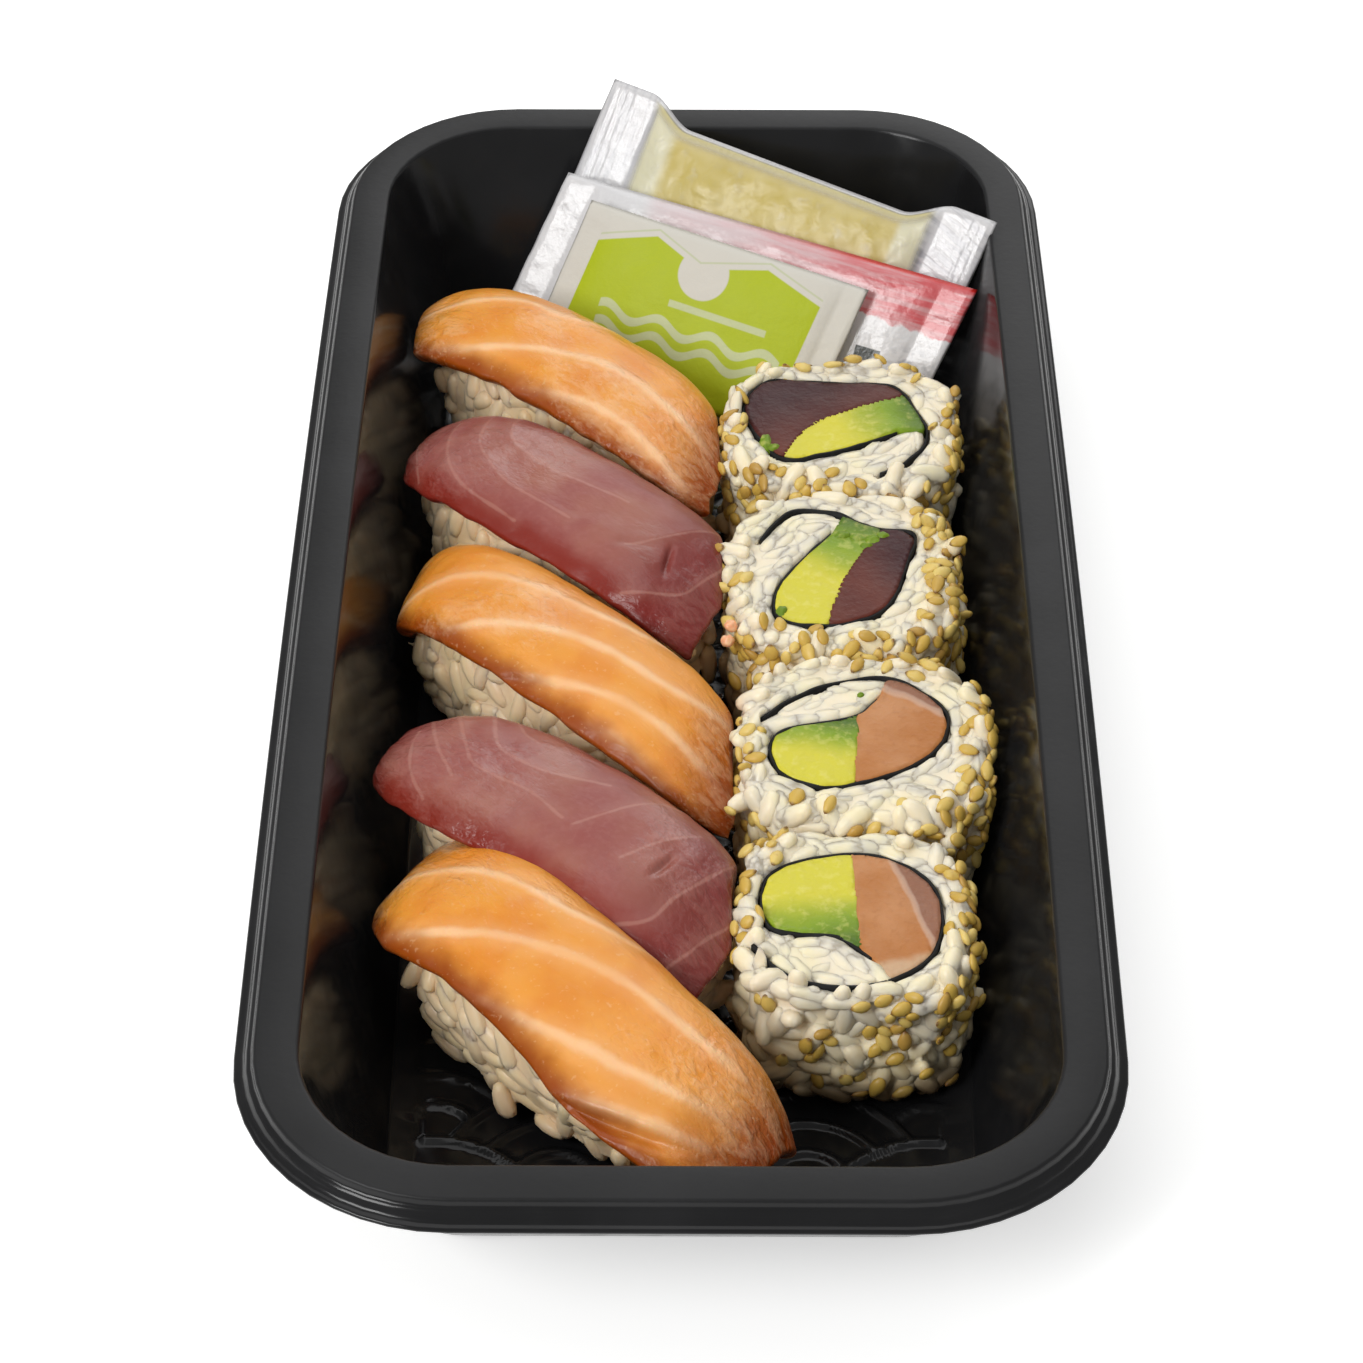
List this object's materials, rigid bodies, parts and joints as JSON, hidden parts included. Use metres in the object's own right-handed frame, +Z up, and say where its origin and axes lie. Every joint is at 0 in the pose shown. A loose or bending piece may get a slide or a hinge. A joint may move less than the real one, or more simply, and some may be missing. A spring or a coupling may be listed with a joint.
{
  "type": "takeaway sushi tray",
  "caption": "Black formed takeaway tray filled with salmon and tuna nigiri, seeded inside-out rolls and condiment sachets.",
  "frame": {"origin": "on the table, under the middle of the tray", "axes": "+Z up; +Y along the tray to the end with the sachets; +X to the side with the rolls"},
  "size_m": [0.1108, 0.2342, 0.0386],
  "materials": {
    "tray": "glossy black formed sheet with a satin rim",
    "rice": "moist cooked rice, white to cream, with pale yellow sesame seeds",
    "nori": "dark green-black seaweed sheet",
    "avocado": "soft yellow to green flesh",
    "salmon": "moist raw salmon, orange with pale fat lines",
    "tuna": "moist raw tuna, dusky red",
    "ginger": "clear film over pale yellow pickled ginger",
    "soy": "white printed film with a red band",
    "wasabi": "beige printed film with a lime green field"
  },
  "bodies": {
    "root": {"tray": "tray", "nigiri_salmon_back_fish": "salmon", "nigiri_salmon_back_rice": "rice", "nigiri_tuna_back_fish": "tuna", "nigiri_tuna_back_rice": "rice", "nigiri_salmon_middle_fish": "salmon", "nigiri_salmon_middle_rice": "rice", "nigiri_tuna_front_fish": "tuna", "nigiri_tuna_front_rice": "rice", "nigiri_salmon_front_fish": "salmon", "nigiri_salmon_front_rice": "rice", "roll_back_rice": "rice", "roll_back_nori": "nori", "roll_back_avocado": "avocado", "roll_back_fish": "tuna", "roll_middle_back_rice": "rice", "roll_middle_back_nori": "nori", "roll_middle_back_avocado": "avocado", "roll_middle_back_fish": "tuna", "roll_middle_front_rice": "rice", "roll_middle_front_nori": "nori", "roll_middle_front_avocado": "avocado", "roll_middle_front_fish": "salmon", "roll_front_rice": "rice", "roll_front_nori": "nori", "roll_front_avocado": "avocado", "roll_front_fish": "salmon", "sachet_ginger": "ginger", "sachet_soy": "soy", "sachet_wasabi": "wasabi"}
  },
  "joints": []
}
